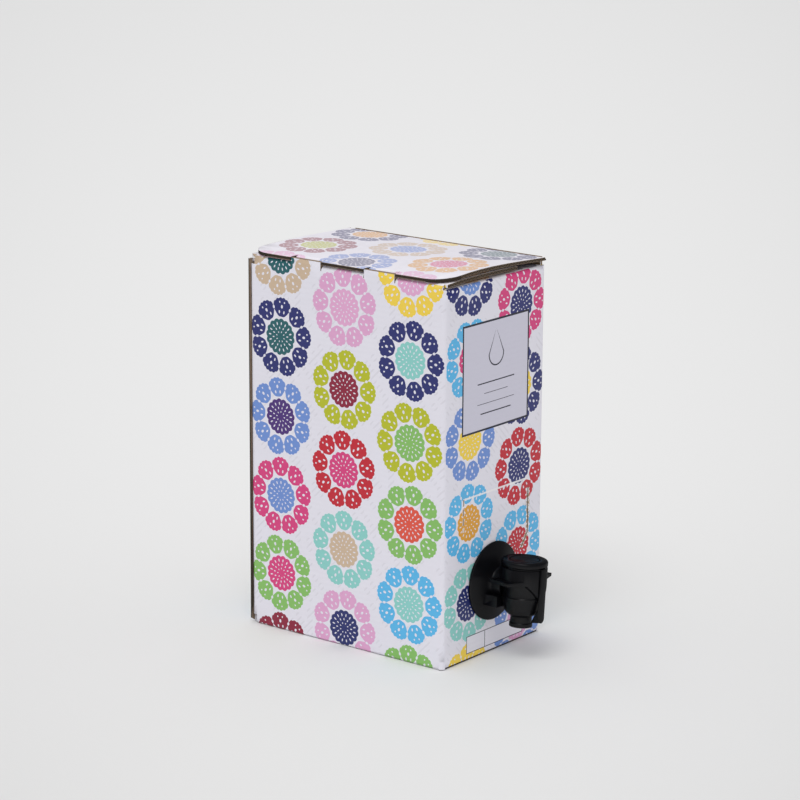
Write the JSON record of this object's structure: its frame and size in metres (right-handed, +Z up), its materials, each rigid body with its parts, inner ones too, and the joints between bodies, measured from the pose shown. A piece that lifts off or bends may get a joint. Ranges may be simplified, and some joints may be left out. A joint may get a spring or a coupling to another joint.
{
  "type": "bag in box carton",
  "caption": "Tall folded carton with a filled bag inside, a hinged tuck-lock lid, and a press tap on the front panel.",
  "frame": {"origin": "middle of the carton's base, on the surface it stands on", "axes": "+Z up, the tap faces -Y, the lid is hinged along the +X side"},
  "size_m": [0.081, 0.1532, 0.192],
  "materials": {
    "printed_board": "coated paper on fluted board, satin",
    "bag_film": "silvery barrier film",
    "gland_plastic": "natural moulded plastic",
    "black_plastic": "black moulded plastic, satin gloss",
    "elastomer": "soft black elastomer"
  },
  "bodies": {
    "root": {"carton_body": "printed_board", "filled_bag": "bag_film", "bag_gland": "gland_plastic", "tap_body": "black_plastic", "cap_ring": "black_plastic", "tear_off_tab": "black_plastic"},
    "lid": {"carton_lid": "printed_board"},
    "valve": {"push_button": "black_plastic", "return_diaphragm": "elastomer", "valve_stem": "gland_plastic", "valve_seal": "elastomer"}
  },
  "joints": [
    {"name": "lid_hinge", "type": "hinge", "parent": "root", "child": "lid", "pos_m": [0.0405, 0, 0.192], "axis": [0, 1, 0], "range_deg": [0, 180]},
    {"name": "button_press", "type": "slide", "parent": "root", "child": "valve", "axis": [-0.0819, 0, -0.9966], "range_m": [0, 0.003], "stiffness_N_per_m": 2500, "springref_m": -0.002, "deforming": ["return_diaphragm"]}
  ]
}
